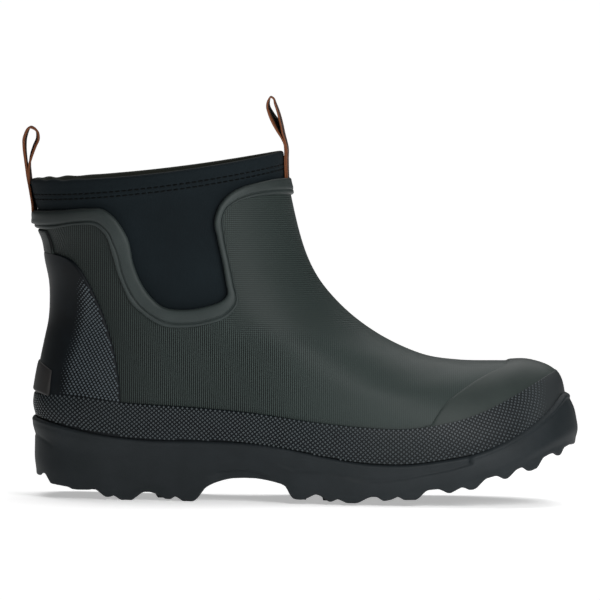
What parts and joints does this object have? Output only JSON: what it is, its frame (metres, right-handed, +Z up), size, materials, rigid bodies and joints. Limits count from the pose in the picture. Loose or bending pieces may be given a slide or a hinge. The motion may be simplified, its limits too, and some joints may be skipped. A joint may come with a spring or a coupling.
{
  "type": "rubber ankle boot",
  "caption": "Pull-on rubber ankle boot for the right foot: rubber shell over a neoprene bootie, side gores, ribbon pull loops and a lugged outsole.",
  "frame": {"origin": "on the floor under the middle of the boot's box", "axes": "+X from heel to toe, +Y to the medial side, +Z up"},
  "size_m": [0.3124, 0.111, 0.2242],
  "materials": {
    "sole_rubber": "moulded matte charcoal rubber",
    "shell_rubber": "dark green-grey rubber with a fine woven emboss, satin",
    "trim_rubber": "charcoal rubber, knurled or satin",
    "neoprene": "near-black knit-faced neoprene",
    "ribbon": "rust and black woven ribbon",
    "footbed": "felt footbed, matte"
  },
  "bodies": {
    "root": {"outsole": "sole_rubber", "insole": "footbed", "neoprene_bootie": "neoprene", "rubber_shell": "shell_rubber", "edge_band": "trim_rubber", "foxing_band": "trim_rubber", "toe_cap": "shell_rubber", "heel_counter": "trim_rubber", "back_stay": "shell_rubber", "heel_kick_tab": "trim_rubber", "rear_pull_loop": "ribbon", "front_pull_loop": "ribbon"}
  },
  "joints": []
}
